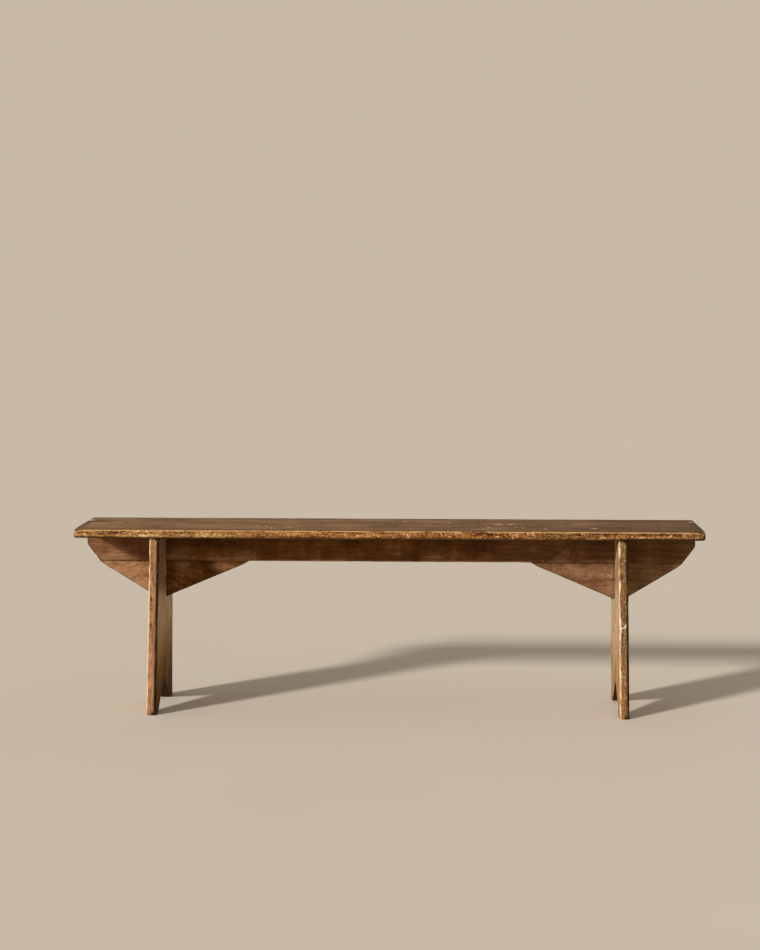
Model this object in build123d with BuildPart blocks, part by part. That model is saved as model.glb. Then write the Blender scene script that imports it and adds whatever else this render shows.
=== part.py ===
"""Farmhouse bench: a single plank seat on two bootjack end boards, with one long rail under the seat.

Millimetres, +Z up. The origin is on the floor under the middle of the seat, +X runs along the bench
and the front is towards -Y. The rail drops into a slot in the top of each leg and runs on past it,
and four triangular brackets fill the corners between the rail and the legs. Cut nails hold it together.
"""

import os
from math import atan2, cos, radians, sin, tan

from build123d import *

# Seat: one plank, worn round along every edge
seat_length = 1524.0
seat_depth = 250.0
seat_thickness = 22.0
seat_height = 457.0
seat_corner_radius = 12.0
seat_top_round = 6.0
seat_underside_round = 5.0

# Legs: end boards set back under the seat, as deep as the seat at the floor, that lean outwards a little
leg_thickness = 24.0
leg_overhang = 184.0
leg_splay = 1.0
leg_top_setback = 12.0
leg_arris_round = 3.0
notch_height = 70.0
notch_width = 175.0

# Rail: one board on edge, a little behind mid-depth, with its lower end corners sawn off
rail_thickness = 22.0
rail_height = 73.0
rail_end_inset = 8.0
rail_end_flat = 32.0
rail_end_clip = 31.0
rail_setback = 20.0
slot_clearance = 0.2

# Brackets: triangles of the rail's stock, flush with it, blunt at the thin end
bracket_height = 90.0
inner_bracket_length = 204.0
bracket_tip = 3.0

# Cut nails: a flat head over a shank that tapers in its width only
nail_head_length = 7.0
nail_head_width = 4.6
nail_head_height = 1.6
nail_shank_width = 4.4
nail_shank_thickness = 2.6
nail_point_width = 1.8
seat_nail_length = 64.0
bracket_nail_length = 50.0
leg_nail_edge_distance = 30.0
rail_nail_pitch = 220.0
rail_nail_count = 5
overhang_nail_distance = 80.0
bracket_nail_depths = (14.0, 36.0)

# Levels and lines worked out from the sizes above
seat_underside = seat_height - seat_thickness
rail_underside = seat_underside - rail_height
bracket_foot = rail_underside - bracket_height
rail_half_length = seat_length / 2 - rail_end_inset
leg_top_depth = seat_depth - 2 * leg_top_setback
leg_foot_depth = seat_depth
lean = radians(leg_splay)
leg_length = seat_underside / cos(lean)
leg_top_x = seat_length / 2 - leg_overhang


def leg_outer_x(height):
    """Distance from the middle of the bench to a leg's outer face at a height."""
    return leg_top_x + (seat_underside - height) * tan(lean)


def leg_inner_x(height):
    """Distance from the middle of the bench to a leg's inner face at a height."""
    return leg_outer_x(height) - leg_thickness / cos(lean)


def cut_nail(head_plane, length):
    """One cut nail, its head's top on the plane and its point along the plane's -Z."""
    with BuildPart() as nail:
        with BuildSketch(head_plane):
            Rectangle(nail_head_length, nail_head_width)
        extrude(amount=-nail_head_height)
        with BuildSketch(head_plane.offset(-nail_head_height)):
            Rectangle(nail_shank_width, nail_shank_thickness)
        with BuildSketch(head_plane.offset(-length)):
            Rectangle(nail_point_width, nail_shank_thickness)
        loft()
    return nail.part


def bracket_outline(leg_x, tip_x):
    """Corners of a left-hand bracket, from its leg face to its blunt tip under the rail."""
    return (
        (-leg_x(rail_underside), rail_underside),
        (tip_x, rail_underside),
        (tip_x, rail_underside - bracket_tip),
        (-leg_x(bracket_foot), bracket_foot),
    )


def bracket_nail_planes(outline):
    """Head planes of the nails driven square to a bracket's sloping edge, up into the rail."""
    tip, foot = outline[2], outline[3]
    slope = (foot[1] - tip[1]) / (foot[0] - tip[0])
    along = 1 if foot[0] > tip[0] else -1
    angle = atan2(abs(foot[1] - tip[1]), abs(foot[0] - tip[0]))
    planes = []
    for depth in bracket_nail_depths:
        height = rail_underside - depth
        x = tip[0] + (height - tip[1]) / slope
        planes.append(
            Plane(
                origin=(x, rail_setback, height),
                x_dir=(along * cos(angle), 0, -sin(angle)),
                z_dir=(-along * sin(angle), 0, -cos(angle)),
            )
        )
    return planes


# The rail's mid plane and the left leg's outer face, whose sketch Y runs up the board
rail_plane = Plane.XZ.offset(-rail_setback)
leg_face = Plane(
    origin=(-leg_top_x, 0, seat_underside),
    x_dir=(0, 1, 0),
    z_dir=(cos(lean), 0, -sin(lean)),
)
inner_outline = bracket_outline(leg_inner_x, inner_bracket_length - leg_inner_x(rail_underside))
outer_outline = bracket_outline(leg_outer_x, rail_end_clip - rail_half_length)

# Nails through the seat, three into each leg, the rest down the middle of the rail
slot_front = rail_setback - rail_thickness / 2 - slot_clearance
front_nail_y = leg_nail_edge_distance - leg_top_depth / 2
leg_nail_x = leg_top_x - leg_thickness / (2 * cos(lean))
leg_nail_ys = (front_nail_y, (front_nail_y + slot_front) / 2, -front_nail_y)
rail_nail_xs = [(i - (rail_nail_count - 1) / 2) * rail_nail_pitch for i in range(rail_nail_count)]
rail_nail_xs += [side * (leg_top_x + overhang_nail_distance) for side in (-1, 1)]
leg_nail_spots = [(side * leg_nail_x, y) for side in (-1, 1) for y in leg_nail_ys]
rail_nail_spots = [(x, rail_setback) for x in rail_nail_xs]
seat_nail_solids = [
    cut_nail(Plane(origin=(x, y, seat_height)), seat_nail_length)
    for x, y in leg_nail_spots + rail_nail_spots
]

# Nails through the brackets' sloping edges, made on the left and mirrored to the right
left_bracket_nails = [
    cut_nail(plane, bracket_nail_length)
    for outline in (inner_outline, outer_outline)
    for plane in bracket_nail_planes(outline)
]
bracket_nail_solids = left_bracket_nails + [nail.mirror(Plane.YZ) for nail in left_bracket_nails]

# Seat plank, with rounded corners, worn edges and the nails' holes
with BuildPart() as seat_board:
    with BuildSketch(Plane.XY.offset(seat_underside)):
        RectangleRounded(seat_length, seat_depth, seat_corner_radius)
    extrude(amount=seat_thickness)
    fillet(seat_board.faces().sort_by(Axis.Z)[-1].edges(), seat_top_round)
    fillet(seat_board.faces().sort_by(Axis.Z)[0].edges(), seat_underside_round)
    add(seat_nail_solids, mode=Mode.SUBTRACT)

# Left leg: a tapered end board with the bootjack notch, cut level at the seat and at the floor
foot_half = leg_foot_depth / 2
taper = (leg_foot_depth - leg_top_depth) / (2 * leg_length)
level_trim = leg_thickness * tan(lean)
trimmed_half = leg_top_depth / 2 - taper * level_trim
slot_run = 2 * (leg_thickness + rail_height)
with BuildPart() as left_leg:
    with BuildSketch(leg_face):
        with BuildLine():
            Polyline(
                (-trimmed_half, level_trim),
                (trimmed_half, level_trim),
                (foot_half, -leg_length),
                (notch_width / 2, -leg_length),
                (0, notch_height / cos(lean) - leg_length),
                (-notch_width / 2, -leg_length),
                (-foot_half, -leg_length),
                close=True,
            )
        make_face()
    extrude(amount=leg_thickness)
    split(bisect_by=Plane.XY.offset(seat_underside), keep=Keep.BOTTOM)
    split(bisect_by=Plane.XY, keep=Keep.TOP)
    fillet(left_leg.edges().sort_by(SortBy.LENGTH)[-4:], leg_arris_round)
    with BuildSketch(Plane.XY.offset(rail_underside)):
        with Locations((-leg_top_x, rail_setback)):
            Rectangle(slot_run, rail_thickness + 2 * slot_clearance)
    extrude(amount=rail_height, mode=Mode.SUBTRACT)
    add(seat_nail_solids, mode=Mode.SUBTRACT)

with BuildPart() as right_leg:
    mirror(left_leg.part, about=Plane.YZ)

# Rail: square ends under the seat, then a long sloping cut to its lower edge
with BuildPart() as rail:
    with BuildSketch(rail_plane):
        with BuildLine():
            Polyline(
                (-rail_half_length, seat_underside),
                (rail_half_length, seat_underside),
                (rail_half_length, seat_underside - rail_end_flat),
                (rail_half_length - rail_end_clip, rail_underside),
                (rail_end_clip - rail_half_length, rail_underside),
                (-rail_half_length, seat_underside - rail_end_flat),
                close=True,
            )
        make_face()
    extrude(amount=rail_thickness / 2, both=True)
    add(seat_nail_solids, mode=Mode.SUBTRACT)
    add(bracket_nail_solids, mode=Mode.SUBTRACT)

# Brackets on the left, between the rail's lower edge and each face of the leg
with BuildPart() as left_inner_bracket:
    with BuildSketch(rail_plane):
        with BuildLine():
            Polyline(*inner_outline, close=True)
        make_face()
    extrude(amount=rail_thickness / 2, both=True)
    add(left_bracket_nails, mode=Mode.SUBTRACT)

with BuildPart() as left_outer_bracket:
    with BuildSketch(rail_plane):
        with BuildLine():
            Polyline(*outer_outline, close=True)
        make_face()
    extrude(amount=rail_thickness / 2, both=True)
    add(left_bracket_nails, mode=Mode.SUBTRACT)

with BuildPart() as right_inner_bracket:
    mirror(left_inner_bracket.part, about=Plane.YZ)

with BuildPart() as right_outer_bracket:
    mirror(left_outer_bracket.part, about=Plane.YZ)

# Nails, one group for each length
with BuildPart() as seat_nails:
    add(seat_nail_solids)

with BuildPart() as bracket_nails:
    add(bracket_nail_solids)

pieces = {
    "seat_board": seat_board,
    "left_leg": left_leg,
    "right_leg": right_leg,
    "rail": rail,
    "left_outer_bracket": left_outer_bracket,
    "left_inner_bracket": left_inner_bracket,
    "right_inner_bracket": right_inner_bracket,
    "right_outer_bracket": right_outer_bracket,
    "seat_nails": seat_nails,
    "bracket_nails": bracket_nails,
}
os.makedirs("parts", exist_ok=True)
for name, piece in pieces.items():
    piece.part.label = name
    export_step(piece.part, f"parts/{name}.step")
    print(name, len(piece.part.solids()), "solids", round(piece.part.volume), "mm3")
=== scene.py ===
# %% [markdown]
# # A worn farmhouse bench
# The bench is a plank seat on two bootjack end boards, with one long rail under the seat and four
# triangular brackets. Each board is modelled as a joiner would saw it, then worn as a century of
# sitting would wear it, and last it gets its old finish. Sizes are metres, the front is towards -Y
# and the floor is at zero. The plain solids are loaded first, because they say where each board goes.

# %% Load the bench's frame
from functools import reduce
from math import atan2, pi, radians, tan

import bmesh
import bpy
import numpy as np
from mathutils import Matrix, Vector, noise


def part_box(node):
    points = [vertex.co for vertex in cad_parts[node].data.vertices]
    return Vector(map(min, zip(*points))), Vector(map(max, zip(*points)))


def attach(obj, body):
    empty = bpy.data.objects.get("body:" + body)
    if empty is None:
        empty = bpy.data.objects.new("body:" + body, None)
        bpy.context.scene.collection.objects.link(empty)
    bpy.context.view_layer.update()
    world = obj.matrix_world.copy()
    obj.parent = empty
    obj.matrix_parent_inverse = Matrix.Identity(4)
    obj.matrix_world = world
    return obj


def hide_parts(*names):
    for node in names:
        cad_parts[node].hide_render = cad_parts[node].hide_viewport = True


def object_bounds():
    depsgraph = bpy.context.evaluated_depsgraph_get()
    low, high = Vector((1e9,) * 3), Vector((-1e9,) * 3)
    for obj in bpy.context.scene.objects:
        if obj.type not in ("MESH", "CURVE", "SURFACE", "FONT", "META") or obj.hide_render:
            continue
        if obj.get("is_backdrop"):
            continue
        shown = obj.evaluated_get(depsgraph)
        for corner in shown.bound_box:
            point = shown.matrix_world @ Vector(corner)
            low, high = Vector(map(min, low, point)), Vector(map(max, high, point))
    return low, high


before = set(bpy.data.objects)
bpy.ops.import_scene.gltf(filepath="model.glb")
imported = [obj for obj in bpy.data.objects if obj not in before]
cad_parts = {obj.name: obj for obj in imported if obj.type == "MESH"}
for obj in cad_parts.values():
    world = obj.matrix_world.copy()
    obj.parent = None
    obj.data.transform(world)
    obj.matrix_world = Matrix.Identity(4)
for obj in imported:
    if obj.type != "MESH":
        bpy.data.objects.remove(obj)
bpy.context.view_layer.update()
bpy.context.scene.view_settings.view_transform = "Standard"
print("pieces to dress:", sorted(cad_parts))

# %% [markdown]
# The camera stands a little over four metres away, about a metre up, and looks slightly down and to
# the left. A long lens keeps the two ends of the bench nearly the same size. The lens is worked out
# from the picture's height, because Blender fits a camera's sensor to the longer side.

# %% Camera
picture_height_px = 950
lens_px = 1844.6
look_down = radians(5.40)
look_left = radians(2.26)
camera_data = bpy.data.cameras.new("camera")
camera_data.sensor_width = 36.0
camera_data.lens = lens_px * camera_data.sensor_width / picture_height_px
camera = bpy.data.objects.new("camera", camera_data)
camera.location = (0.1556, -4.5239, 1.0074)
camera.rotation_euler = (radians(90) - look_down, 0, look_left)
bpy.context.scene.collection.objects.link(camera)
bpy.context.scene.camera = camera
print("lens", round(camera_data.lens, 1), "mm")

# %% [markdown]
# Every board starts as a block, one primitive cube stretched to the board's own corners. The few
# tools below are the ones a modeller uses by hand in edit mode: choose edges or corners by where
# they are, move them, and round them with a bevel. Two places that are nearer than a hair count as
# one, because numbers in a mesh are never quite exact.

# %% Tools for shaping a block
hair = 1e-5


def take_up(board):
    """Makes a board the only one that is selected, and the active one."""
    bpy.ops.object.select_all(action="DESELECT")
    board.select_set(True)
    bpy.context.view_layer.objects.active = board


def start_block(name, low, high):
    """A block between two corners, its place kept in its mesh."""
    bpy.ops.object.select_all(action="DESELECT")
    bpy.ops.mesh.primitive_cube_add(size=1, location=(low + high) / 2, scale=high - low)
    bpy.ops.object.transform_apply(location=True, rotation=True, scale=True)
    block = bpy.context.object
    block.name = name
    block.data.name = name
    return block


def choose_corners(block, test):
    """Selects, in edit mode, the corners whose place passes the test."""
    bpy.ops.mesh.select_mode(type="VERT")
    bpy.ops.mesh.select_all(action="DESELECT")
    shape = bmesh.from_edit_mesh(block.data)
    for corner in shape.verts:
        corner.select_set(bool(test(corner.co)))
    shape.select_flush(True)
    bmesh.update_edit_mesh(block.data)


def choose_edges(block, test):
    """Selects, in edit mode, the edges that pass a test of their two ends and of the edge itself."""
    bpy.ops.mesh.select_mode(type="EDGE")
    bpy.ops.mesh.select_all(action="DESELECT")
    shape = bmesh.from_edit_mesh(block.data)
    for edge in shape.edges:
        edge.select_set(bool(test(edge.verts[0].co, edge.verts[1].co, edge)))
    bmesh.update_edit_mesh(block.data)


def move_corners(block, test, shift):
    """Moves, in edit mode, the corners that pass the test, and leaves them selected."""
    choose_corners(block, test)
    bpy.ops.transform.translate(value=shift)


def round_edges(block, test, radius, segments):
    """Bevels, in edit mode, the edges that pass the test."""
    choose_edges(block, test)
    bpy.ops.mesh.bevel(offset=radius, segments=segments)


print("places count as one within", hair * 1000, "mm")

# %% [markdown]
# A saw cut that leaves both halves in place adds a row of vertices. Such cuts, ruled every few
# millimetres through the whole block, matter most for an old board: wear can only move vertices that
# exist. The sharp edges are noted before the cuts are ruled, as the lines that wear keeps close to.

# %% Tools for cuts
sharp_angle = radians(35)


def saw(place, normal):
    """One straight cut right through the block in edit mode, which leaves both sides in place."""
    bpy.ops.mesh.select_all(action="SELECT")
    bpy.ops.mesh.bisect(plane_co=place, plane_no=normal, use_fill=False)


def rule_cuts(low, high, step):
    """Cuts across the block in edit mode, along each axis, about a step apart."""
    for axis in range(3):
        count = max(1, round((high[axis] - low[axis]) / step[axis]))
        normal = Vector((0, 0, 0))
        normal[axis] = 1
        for place in np.linspace(low[axis], high[axis], count + 1)[1:-1]:
            saw(normal * place, normal)


def is_sharp(edge):
    """True where two faces meet at an arris rather than in one flat or round surface."""
    return len(edge.link_faces) == 2 and edge.calc_face_angle() > sharp_angle


def arris_lines(block):
    """The block's sharp edges, in edit mode, as an array of line ends."""
    shape = bmesh.from_edit_mesh(block.data)
    return np.array([[v.co[:] for v in e.verts] for e in shape.edges if is_sharp(e)])


print("an edge is an arris from", round(np.degrees(sharp_angle)), "degrees")

# %% [markdown]
# A board here has up to tens of thousands of vertices. Blender hands them over as one array, numpy
# reckons with all of them at once, and the array goes back into the mesh, which is far quicker than a
# loop over vertices. Two soft shapes do most of the work, a bell and a smooth step, and Blender's own
# noise gives the same lumps in every run.


# %% Tools for points
def read_points(board, what):
    """All vertex places or normals of a board as an array."""
    values = np.empty(len(board.data.vertices) * 3, np.float32)
    board.data.vertices.foreach_get(what, values)
    return values.reshape(-1, 3).astype(float)


def write_points(board, points):
    """Moves a board's vertices to new places."""
    board.data.vertices.foreach_set("co", points.astype(np.float32).ravel())
    board.data.update()


def keep_attribute(board, name, values):
    """Stores one number for each vertex of a board."""
    kept = board.data.attributes.new(name, "FLOAT", "POINT")
    kept.data.foreach_set("value", values.astype(np.float32))


def nearest_line(points, lines):
    """Each point's distance to the nearest of the lines."""
    best = np.full(len(points), 1e9)
    for start, end in lines:
        along = end - start
        share = np.clip((points - start) @ along / (along @ along), 0, 1)
        best = np.minimum(best, np.linalg.norm(points - start - share[:, None] * along, axis=1))
    return best


def slow_noise(points, lumps, shift):
    """Smooth noise from -1 to 1 whose lumps have the given size along X, Y and Z."""
    scaled = points / np.array(lumps) + shift
    return np.array([noise.noise(Vector(p)) for p in scaled])


def step_up(values, low, high):
    """A smooth step from 0 to 1 between two values."""
    share = np.clip((values - low) / (high - low), 0, 1)
    return share * share * (3 - 2 * share)


def bell(distance, reach):
    """1 at no distance, and next to nothing from twice the reach on."""
    return np.exp(-((distance / reach) ** 2))


def blob(points, centre, size):
    """A bell round a place, with its own reach along X, Y and Z."""
    return np.exp(-((((points - centre) / size) ** 2).sum(axis=1)))


print("a bell at its reach:", round(float(bell(1.0, 1.0)), 2))

# %% [markdown]
# Old boards aren't flat and their arrises aren't straight. Hands, boots and brooms take the most off
# where two faces meet, in shallow scallops and a few deeper chips, and a hand plane leaves the faces
# gently uneven. Wear is made here by moving each vertex inwards along its normal: a little
# everywhere, more near an arris, most where a slow noise says that a chip broke out. Arrises at a
# joint stay sharp and soles stay flat. The distances, the chips and which vertices lie on an edge or
# on end grain are kept on the mesh as attributes, so that the finish can follow them.

# %% Tools for wear
plane_ripple = 0.0003
joint_margin = (0.002, 0.008)
floor_margin = (0.002, 0.030)
smooth_angle = radians(50)


def wear(board, lines, reach, rub, chip, lumps, shift, through, joints=()):
    """Rubs a board's arrises down, chips them and leaves its faces a little uneven."""
    points = read_points(board, "co")
    normals = read_points(board, "normal")
    distance = nearest_line(points, lines)
    joint = nearest_line(points, joints)
    near = bell(distance, reach) * step_up(joint, *joint_margin)
    lumps = np.array(lumps)
    scallops = 0.5 + 0.5 * slow_noise(points, lumps * 4, shift)
    broken = step_up(slow_noise(points, lumps, shift + 7.3), 0.22, 0.5)
    broken *= step_up(slow_noise(points, lumps * 5, shift + 3.1), -0.15, 0.25)
    uneven = 0.5 + 0.5 * slow_noise(points, lumps * 3, shift + 1.7)
    off_floor = step_up(points[:, 2], *floor_margin)
    worn_off = (rub * scallops + chip * broken) * near * off_floor
    depth = plane_ripple * uneven * off_floor + worn_off
    write_points(board, points - normals * depth[:, None])
    keep_attribute(board, "arris", distance)
    keep_attribute(board, "chip", near * broken)
    keep_attribute(board, "joint", np.minimum(joint, 1))
    keep_attribute(board, "edge", 1 - step_up(np.abs(normals[:, through]), 0.55, 0.85))
    grain_axis = 2 if through == 0 else 0
    keep_attribute(board, "end", step_up(np.abs(normals[:, grain_axis]), 0.30, 0.70))


def finish_shape(board):
    """Smooth shading across the worn surface, and a word on what was made."""
    take_up(board)
    bpy.ops.object.shade_smooth_by_angle(angle=smooth_angle)
    print(board.name, len(board.data.vertices), "vertices")


print("wear leaves", joint_margin[0] * 1000, "mm beside a joint sharp")

# %% [markdown]
# The seat is one plank. Its corners in plan are worn round, its top arris is still fairly crisp and
# its lower arris is rounder, so each gets a bevel of its own. The ruled cuts are closest up the edge,
# where the chips will be. Three more run along the grain near the back, where the plank has split at
# its left end.

# %% Seat board, sawn
seat_low, seat_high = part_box("seat_board")
corner_rounds = {(-1, -1): 0.010, (1, -1): 0.012, (-1, 1): 0.008, (1, 1): 0.006}
seat_top_round = 0.0035
seat_under_round = 0.0045
split_y = seat_high.y - 0.066
split_width = 0.0024

seat = start_block("worn_seat_board", seat_low, seat_high)
bpy.ops.object.mode_set(mode="EDIT")
for (side, face), radius in corner_rounds.items():
    round_edges(
        seat,
        lambda a, b, e: abs(a.z - b.z) > hair
        and a.x * side > seat_high.x - hair
        and a.y * face > seat_high.y - hair,
        radius,
        segments=5,
    )
seat_arrises = arris_lines(seat)
round_edges(seat, lambda a, b, e: min(a.z, b.z) > seat_high.z - hair and is_sharp(e), seat_top_round, 3)
round_edges(seat, lambda a, b, e: max(a.z, b.z) < seat_low.z + hair and is_sharp(e), seat_under_round, 4)
rule_cuts(seat_low, seat_high, (0.004, 0.007, 0.003))
for offset in (-split_width, 0, split_width):
    saw((0, split_y + offset, 0), (0, 1, 0))
bpy.ops.object.mode_set(mode="OBJECT")
print("seat sawn into", len(seat.data.polygons), "faces")

# %% [markdown]
# The vertices on the split are pushed down into the wood, deepest at the end. The wood behind it is
# set back a little, and a band in front of it is kept for the finish, which paints it dark, partly as a
# stain and partly as the split's painted shade. Beside the split a chip has broken off the end, here and
# there something knocked a ding into the top, and both front corners are worn lower: these are kept as
# fresh wood, for a paler finish. Each ding has its place along and across the seat and its length.

# %% Seat board, worn
split_length = 0.105
split_depth = 0.006
split_skin = 0.004
set_back = 0.001
set_back_reach = 0.030
dark_offset = 0.016
dark_width = 0.020
dark_length = 0.065
chip_depth = 0.003
chip_offset = (0.006, 0.015)
chip_size = (0.013, 0.011, 0.009)
ding_depth = 0.0006
ding_width = 0.012
ding_skin = 0.006
ding_freshness = 0.66
corner_wear_reach = 0.015
corner_wear_depth = 0.0065
corner_freshness = 0.55
dings = [
    (-0.323, -0.037, 0.007), (-0.300, -0.050, 0.008), (-0.285, -0.072, 0.008), (-0.244, -0.060, 0.016),
    (0.006, 0.055, 0.008), (0.037, 0.062, 0.009), (0.146, 0.043, 0.008), (0.244, -0.050, 0.007),
    (0.273, 0.015, 0.026), (0.301, 0.015, 0.015), (0.312, -0.037, 0.007), (0.328, -0.055, 0.008),
    (0.380, -0.075, 0.008), (0.500, -0.060, 0.015), (0.751, 0.078, 0.014),
]

wear(
    seat,
    seat_arrises,
    reach=0.005,
    rub=0.0008,
    chip=0.0020,
    lumps=(0.016, 0.010, 0.010),
    shift=4.0,
    through=2,
)
points = read_points(seat, "co")
near_top = points[:, 2] > seat_high.z - split_skin
in_split = (np.abs(points[:, 1] - split_y) < split_width / 2) & near_top
towards_end = np.clip(1 - (points[:, 0] - seat_low.x) / split_length, 0, 1)
points[:, 2] -= split_depth * towards_end * in_split
behind_split = step_up(points[:, 1], split_y, split_y + split_width)
points[:, 0] += set_back * bell(points[:, 0] - seat_low.x, set_back_reach) * behind_split
beside_split = bell(points[:, 1] - split_y + dark_offset, dark_width)
keep_attribute(seat, "crack", beside_split * bell(points[:, 0] - seat_low.x, dark_length))

chip_place = (seat_low.x + chip_offset[0], split_y + chip_offset[1], seat_high.z)
fresh = blob(points, chip_place, chip_size)
points[:, 2] -= chip_depth * fresh
for x, y, length in dings:
    dent = blob(points, (x, y, seat_high.z), (0.8 * length, ding_width, ding_skin))
    points[:, 2] -= ding_depth * dent
    fresh = np.maximum(fresh, ding_freshness * dent)
for end_x in (seat_low.x, seat_high.x):
    away = np.linalg.norm(points - (end_x, seat_low.y, seat_high.z), axis=1)
    worn_down = bell(away, corner_wear_reach)
    fresh = np.maximum(fresh, corner_freshness * worn_down)
    points[:, 2] -= corner_wear_depth * worn_down * step_up(points[:, 2], seat_low.z, seat_high.z)
keep_attribute(seat, "fresh", fresh)
write_points(seat, points)
finish_shape(seat)

# %% [markdown]
# A leg is an end board. Three cuts down the block give the foot's edge a middle and two shoulders,
# and pulling the middle up makes the bootjack V. The top is drawn in, because the board is narrower
# under the seat, and shifted towards the middle, because the board leans out. A cutter block takes
# out the slot for the rail: a boolean leaves clean, square sides there, as a saw and a chisel do.

# %% Legs, sawn
leg_thickness = 0.024
leg_top_depth = 0.226
notch_height = 0.070
notch_width = 0.175
slot_clearance = 0.0002
overrun = 0.05
rail_low, rail_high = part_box("rail")
rail_y = (rail_low.y + rail_high.y) / 2


def cut_slot(leg, low, high):
    """Takes the rail's slot out of a leg with a cutter block."""
    slot_low = Vector((low.x - overrun, rail_low.y - slot_clearance, rail_low.z))
    slot_high = Vector((high.x + overrun, rail_high.y + slot_clearance, rail_high.z + overrun))
    cutter = start_block("slot_cutter", slot_low, slot_high)
    take_up(leg)
    slot = leg.modifiers.new("slot", "BOOLEAN")
    slot.operation = "DIFFERENCE"
    slot.object = cutter
    slot.solver = "EXACT"
    bpy.ops.object.modifier_apply(modifier=slot.name)
    bpy.data.objects.remove(cutter)


def saw_leg(node, side):
    """A bootjack end board as sawn; side is -1 on the left and 1 on the right."""
    low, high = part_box(node)
    lean = (high.x - low.x) - leg_thickness
    foot_low, foot_high = Vector(low), Vector(high)
    if side < 0:
        foot_high.x -= lean
    else:
        foot_low.x += lean
    leg = start_block("worn_" + node, foot_low, foot_high)
    bpy.ops.object.mode_set(mode="EDIT")
    for y in (-notch_width / 2, 0, notch_width / 2):
        saw((0, y, 0), (0, 1, 0))
    move_corners(leg, lambda c: c.z < hair and abs(c.y) < hair, (0, 0, notch_height))
    move_corners(leg, lambda c: c.z > high.z - hair, (-side * lean, 0, 0))
    bpy.ops.transform.resize(value=(1, leg_top_depth / (high.y - low.y), 1))
    bpy.ops.object.mode_set(mode="OBJECT")
    cut_slot(leg, low, high)
    print(leg.name, "sawn, leaning", round(lean * 1000, 1), "mm")
    return leg


left_leg = saw_leg("left_leg", -1)
right_leg = saw_leg("right_leg", 1)

# %% [markdown]
# The long upright arrises of a leg meet shoes and brooms, and are worn much rounder than the short
# ones. The left one of each pair, towards the lamp, is noted, because it is rubbed and painted bright
# as a highlight, and so is the face that looks towards the middle of the bench, which gets painted
# shade. The left board has also warped a little, so that its front foot stands a few millimetres
# further out.

# %% Legs, worn
long_edge = 0.4
small_round = 0.0010


def wear_leg(leg, node, side, inner_round, outer_round, warp):
    """Rounds a leg's long arrises, wears the whole board and warps its front foot outwards."""
    low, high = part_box(node)
    middle_x = (low.x + high.x) / 2
    take_up(leg)
    bpy.ops.object.mode_set(mode="EDIT")
    arrises = arris_lines(leg)
    for outside, radius in ((-1, inner_round), (1, outer_round)):
        round_edges(
            leg,
            lambda a, b, e: abs(a.z - b.z) > long_edge
            and abs(a.y) > leg_top_depth / 2 - 0.002
            and (a.x + b.x - 2 * middle_x) * side * outside > 0,
            radius,
            segments=4,
        )
    round_edges(leg, lambda a, b, e: is_sharp(e), small_round, segments=2)
    rule_cuts(low, high, (0.006, 0.004, 0.004))
    bpy.ops.object.mode_set(mode="OBJECT")
    wear(
        leg,
        arrises,
        reach=0.006,
        rub=0.0007,
        chip=0.0020,
        lumps=(0.010, 0.010, 0.022),
        shift=11.0 + side,
        through=0,
        joints=[line for line in arrises if np.abs(line[:, 1] - rail_y).max() < 0.02],
    )
    points = read_points(leg, "co")
    upright = [line for line in arrises if np.ptp(line[:, 2]) > long_edge]
    lit = [line for line in upright if line[:, 0].mean() < middle_x]
    keep_attribute(leg, "rubbed_and_lit", nearest_line(points, lit))
    keep_attribute(leg, "inner", step_up(-side * read_points(leg, "normal")[:, 0], 0.3, 0.7))
    towards_front = 0.5 - points[:, 1] / (high.y - low.y)
    points[:, 0] -= warp * towards_front * (1 - points[:, 2] / high.z)
    write_points(leg, points)
    finish_shape(leg)


wear_leg(left_leg, "left_leg", -1, inner_round=0.005, outer_round=0.002, warp=0.004)
wear_leg(right_leg, "right_leg", 1, inner_round=0.006, outer_round=0.005, warp=0.0)

# %% [markdown]
# The rail is one board on edge. A cut near each end marks where the sloping saw cut starts, and
# raising the end's lower corners makes the slope, whose upper corner is rubbed round. Nobody sits on
# the rail, so its other arrises are sharper, and sharpest where a bracket lies against it.

# %% Rail
rail_end_flat = 0.032
rail_end_clip = 0.031
rail_end_round = 0.005
rail_arris_round = 0.0014
clip_top = rail_high.z - rail_end_flat

rail = start_block("worn_rail", rail_low, rail_high)
bpy.ops.object.mode_set(mode="EDIT")
for x in (rail_low.x + rail_end_clip, rail_high.x - rail_end_clip):
    saw((x, 0, 0), (1, 0, 0))
move_corners(
    rail,
    lambda c: abs(c.x) > rail_high.x - hair and c.z < rail_low.z + hair,
    (0, 0, clip_top - rail_low.z),
)
round_edges(
    rail,
    lambda a, b, e: min(abs(a.x), abs(b.x)) > rail_high.x - hair
    and max(abs(a.z - clip_top), abs(b.z - clip_top)) < hair,
    rail_end_round,
    segments=4,
)
rail_arrises = arris_lines(rail)
round_edges(rail, lambda a, b, e: is_sharp(e), rail_arris_round, segments=2)
rule_cuts(rail_low, rail_high, (0.005, 0.006, 0.005))
bpy.ops.object.mode_set(mode="OBJECT")
bracket_boxes = [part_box(node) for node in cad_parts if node.endswith("bracket")]
wear(
    rail,
    rail_arrises,
    reach=0.004,
    rub=0.0004,
    chip=0.0008,
    lumps=(0.024, 0.010, 0.010),
    shift=23.0,
    through=1,
    joints=[
        np.array([(low.x, y, rail_low.z), (high.x, y, rail_low.z)])
        for low, high in bracket_boxes
        for y in (rail_low.y, rail_high.y)
    ],
)
finish_shape(rail)

# %% [markdown]
# A bracket is a triangle with a blunt tip. It starts as a block between its own corners, and two
# moves give it its shape: the tip's lower corners go up under the rail, and the end at the leg
# follows the leg's lean, at its top on an inner bracket and at its foot on an outer one. On the real
# bench the tips are worn thin, so last the tip's lower edge is lifted a little.

# %% Brackets
bracket_tip = 0.003
tip_wear_reach = 0.010
tip_wear_lift = 0.002
leg_splay = radians(1.0)


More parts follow.
